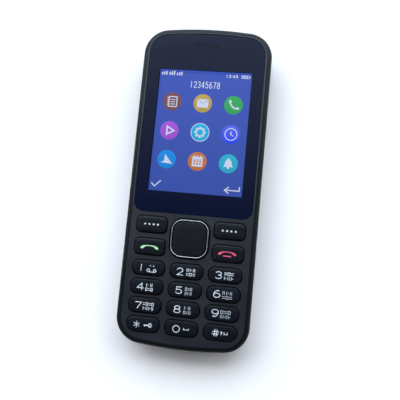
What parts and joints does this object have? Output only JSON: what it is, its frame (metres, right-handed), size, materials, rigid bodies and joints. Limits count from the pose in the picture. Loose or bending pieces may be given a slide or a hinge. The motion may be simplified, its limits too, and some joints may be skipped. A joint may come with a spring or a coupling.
{
  "type": "mobile phone",
  "caption": "Bar-shaped mobile phone with a colour display over a number keypad, a four-way navigation key, a lift-off rear cover and a removable battery",
  "frame": {"origin": "middle of the back, on the surface that the phone lies on", "axes": "+X is the user's right, +Y the earpiece end, +Z out of the display"},
  "size_m": [0.0512, 0.1258, 0.0139],
  "materials": {
    "front_paint": "satin",
    "frame_plastic": "semi-gloss",
    "cover_plastic": "fine texture",
    "window_glass": "polished",
    "panel_glass": "polished",
    "key_plastic": "satin",
    "bright_trim": "polished",
    "silicone": "matte",
    "clear_film": "satin",
    "black_tape": "matte",
    "black_foam": "matte",
    "mesh_cloth": "woven",
    "white_plastic": "satin",
    "amber_film": "satin",
    "circuit_board": "solder mask",
    "chip_resin": "matte",
    "steel": "brushed",
    "gold_plate": "plated",
    "battery_wrap": "printed wrap",
    "sounder_plastic": "matte",
    "lamp_resin": "clear"
  },
  "bodies": {
    "handset": {"antenna": "sounder_plastic", "audio_jack": "chip_resin", "backlight_frame": "white_plastic", "battery_connector": "chip_resin", "battery_contacts": "gold_plate", "board_chips": "chip_resin", "camera_module": "chip_resin", "camera_window": "window_glass", "display_flex": "amber_film", "display_window": "window_glass", "dome_sheet": "clear_film", "earpiece_mesh": "mesh_cloth", "earpiece_receiver": "sounder_plastic", "front_housing": "front_paint", "housing_screws": "steel", "keypad_mat": "silicone", "lcd_gasket": "black_foam", "lcd_panel": "panel_glass", "loudspeaker": "sounder_plastic", "main_board": "circuit_board", "memory_card_socket": "steel", "microphone": "steel", "middle_frame": "frame_plastic", "shield_can": "steel", "sim_socket": "steel", "torch_led": "lamp_resin", "usb_connector": "steel", "vibration_motor": "steel", "window_tape": "black_tape"},
    "rear_cover": {"rear_cover": "cover_plastic"},
    "battery": {"battery": "battery_wrap", "battery_terminals": "gold_plate"},
    "soft_key_left": {"soft_key_left": "key_plastic"},
    "soft_key_right": {"soft_key_right": "key_plastic"},
    "call_key": {"call_key": "key_plastic"},
    "end_key": {"end_key": "key_plastic"},
    "key_1": {"key_1": "key_plastic"},
    "key_2": {"key_2": "key_plastic"},
    "key_3": {"key_3": "key_plastic"},
    "key_4": {"key_4": "key_plastic"},
    "key_5": {"key_5": "key_plastic"},
    "key_6": {"key_6": "key_plastic"},
    "key_7": {"key_7": "key_plastic"},
    "key_8": {"key_8": "key_plastic"},
    "key_9": {"key_9": "key_plastic"},
    "key_star": {"key_star": "key_plastic"},
    "key_0": {"key_0": "key_plastic"},
    "key_hash": {"key_hash": "key_plastic"},
    "nav_base": {"nav_base": "steel"},
    "nav_rocker": {"nav_rocker": "key_plastic", "nav_trim_ring": "bright_trim"},
    "nav_centre_key": {"nav_centre_key": "key_plastic"},
    "motor_weight": {"motor_weight": "steel"}
  },
  "joints": [
    {"name": "soft_key_left_press", "type": "slide", "parent": "handset", "child": "soft_key_left", "axis": [0, 0, -1], "range_m": [0, 0.0003], "stiffness_N_per_m": 100, "springref_m": -0.0005},
    {"name": "soft_key_right_press", "type": "slide", "parent": "handset", "child": "soft_key_right", "axis": [0, 0, -1], "range_m": [0, 0.0003], "stiffness_N_per_m": 100, "springref_m": -0.0005},
    {"name": "call_key_press", "type": "slide", "parent": "handset", "child": "call_key", "axis": [0, 0, -1], "range_m": [0, 0.0003], "stiffness_N_per_m": 100, "springref_m": -0.0005},
    {"name": "end_key_press", "type": "slide", "parent": "handset", "child": "end_key", "axis": [0, 0, -1], "range_m": [0, 0.0003], "stiffness_N_per_m": 100, "springref_m": -0.0005},
    {"name": "key_1_press", "type": "slide", "parent": "handset", "child": "key_1", "axis": [0, 0, -1], "range_m": [0, 0.0003], "stiffness_N_per_m": 100, "springref_m": -0.0005},
    {"name": "key_2_press", "type": "slide", "parent": "handset", "child": "key_2", "axis": [0, 0, -1], "range_m": [0, 0.0003], "stiffness_N_per_m": 100, "springref_m": -0.0005},
    {"name": "key_3_press", "type": "slide", "parent": "handset", "child": "key_3", "axis": [0, 0, -1], "range_m": [0, 0.0003], "stiffness_N_per_m": 100, "springref_m": -0.0005},
    {"name": "key_4_press", "type": "slide", "parent": "handset", "child": "key_4", "axis": [0, 0, -1], "range_m": [0, 0.0003], "stiffness_N_per_m": 100, "springref_m": -0.0005},
    {"name": "key_5_press", "type": "slide", "parent": "handset", "child": "key_5", "axis": [0, 0, -1], "range_m": [0, 0.0003], "stiffness_N_per_m": 100, "springref_m": -0.0005},
    {"name": "key_6_press", "type": "slide", "parent": "handset", "child": "key_6", "axis": [0, 0, -1], "range_m": [0, 0.0003], "stiffness_N_per_m": 100, "springref_m": -0.0005},
    {"name": "key_7_press", "type": "slide", "parent": "handset", "child": "key_7", "axis": [0, 0, -1], "range_m": [0, 0.0003], "stiffness_N_per_m": 100, "springref_m": -0.0005},
    {"name": "key_8_press", "type": "slide", "parent": "handset", "child": "key_8", "axis": [0, 0, -1], "range_m": [0, 0.0003], "stiffness_N_per_m": 100, "springref_m": -0.0005},
    {"name": "key_9_press", "type": "slide", "parent": "handset", "child": "key_9", "axis": [0, 0, -1], "range_m": [0, 0.0003], "stiffness_N_per_m": 100, "springref_m": -0.0005},
    {"name": "key_star_press", "type": "slide", "parent": "handset", "child": "key_star", "axis": [0, 0, -1], "range_m": [0, 0.0003], "stiffness_N_per_m": 100, "springref_m": -0.0005},
    {"name": "key_0_press", "type": "slide", "parent": "handset", "child": "key_0", "axis": [0, 0, -1], "range_m": [0, 0.0003], "stiffness_N_per_m": 100, "springref_m": -0.0005},
    {"name": "key_hash_press", "type": "slide", "parent": "handset", "child": "key_hash", "axis": [0, 0, -1], "range_m": [0, 0.0003], "stiffness_N_per_m": 100, "springref_m": -0.0005},
    {"name": "nav_centre_key_press", "type": "slide", "parent": "handset", "child": "nav_centre_key", "axis": [0, 0, -1], "range_m": [0, 0.0003], "stiffness_N_per_m": 100, "springref_m": -0.0005},
    {"name": "nav_tilt_up_down", "type": "hinge", "parent": "handset", "child": "nav_base", "pos_m": [0, -0.02093, 0.01008], "axis": [1, 0, 0], "range_deg": [-2, 2], "stiffness_Nm_per_rad": 0.01},
    {"name": "nav_tilt_left_right", "type": "hinge", "parent": "nav_base", "child": "nav_rocker", "pos_m": [0, -0.02093, 0.01008], "axis": [0, 1, 0], "range_deg": [-2, 2], "stiffness_Nm_per_rad": 0.01},
    {"name": "cover_lift", "type": "slide", "parent": "handset", "child": "rear_cover", "axis": [0, 0, -1], "range_m": [0, 0.03]},
    {"name": "battery_lift", "type": "slide", "parent": "handset", "child": "battery", "axis": [0, 0, -1], "range_m": [0, 0.015]},
    {"name": "motor_spin", "type": "hinge", "parent": "handset", "child": "motor_weight", "pos_m": [0.0157, -0.0417, 0.00485], "axis": [1, 0, 0], "continuous": true}
  ],
  "couplings": [
    {"joint": "battery_lift", "follows": "cover_lift", "ratio": 0.5}
  ]
}
